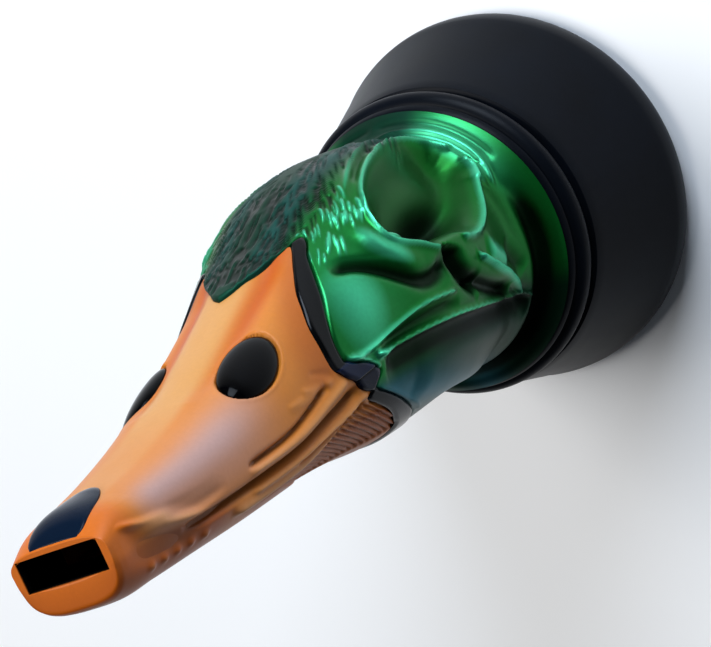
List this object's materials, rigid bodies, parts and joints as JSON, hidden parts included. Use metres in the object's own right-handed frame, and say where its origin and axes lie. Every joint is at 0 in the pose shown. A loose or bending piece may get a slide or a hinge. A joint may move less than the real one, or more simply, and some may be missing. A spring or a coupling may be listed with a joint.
{
  "type": "duck call",
  "caption": "Mouth-blown duck call shaped as a drake's head: flared bell insert with tone board and reeds, pulled or turned in a barrel hidden inside the moulded head and bill.",
  "frame": {"origin": "centre of the bell's rim, on the surface that the call stands on", "axes": "+Z from the bell's rim along the barrel to the tip of the bill, +X towards the crown of the head, -Y is the duck's left side"},
  "size_m": [0.0618, 0.0618, 0.15],
  "materials": {
    "bell_black": "satin moulded plastic",
    "trim_black": "gloss black paint",
    "head_green": "glossy emerald paint",
    "bill_orange": "satin orange paint",
    "barrel_black": "moulded",
    "board_grey": "moulded",
    "reed_film": "clear film",
    "wedge_cork": "cork",
    "seal_rubber": "rubber"
  },
  "bodies": {
    "insert": {"bell": "bell_black", "tone_board": "board_grey", "reed_wedge": "wedge_cork"},
    "long_reed": {"reed_long": "reed_film"},
    "short_reed": {"reed_short": "reed_film"},
    "seal_rings": {"tenon_oring_rear": "seal_rubber", "tenon_oring_front": "seal_rubber"},
    "barrel": {"neck_band": "bell_black", "barrel_tube": "barrel_black", "duct_seal": "seal_rubber", "mouthpiece_duct": "barrel_black", "head_left": "head_green", "head_right": "head_green", "gape_trim_left": "trim_black", "gape_trim_right": "trim_black", "bill_left": "bill_orange", "bill_right": "bill_orange", "bill_nail": "trim_black", "nostril_left": "trim_black", "nostril_right": "trim_black"}
  },
  "joints": [
    {"name": "barrel_twist", "type": "hinge", "parent": "insert", "child": "seal_rings", "pos_m": [0, 0, 0.0388], "axis": [0, 0, 1], "continuous": true},
    {"name": "barrel_pull", "type": "slide", "parent": "seal_rings", "child": "barrel", "axis": [0, 0, 1], "range_m": [0, 0.055]},
    {"name": "reed_long_flex", "type": "hinge", "parent": "insert", "child": "long_reed", "pos_m": [0.00018, 0, 0.053], "axis": [0, -1, 0], "range_deg": [0, 3], "stiffness_Nm_per_rad": 0.02},
    {"name": "reed_short_flex", "type": "hinge", "parent": "insert", "child": "short_reed", "pos_m": [0.00084, 0, 0.053], "axis": [0, -1, 0], "range_deg": [0, 3], "stiffness_Nm_per_rad": 0.02}
  ],
  "couplings": [
    {"joint": "reed_short_flex", "follows": "reed_long_flex", "ratio": 1}
  ]
}
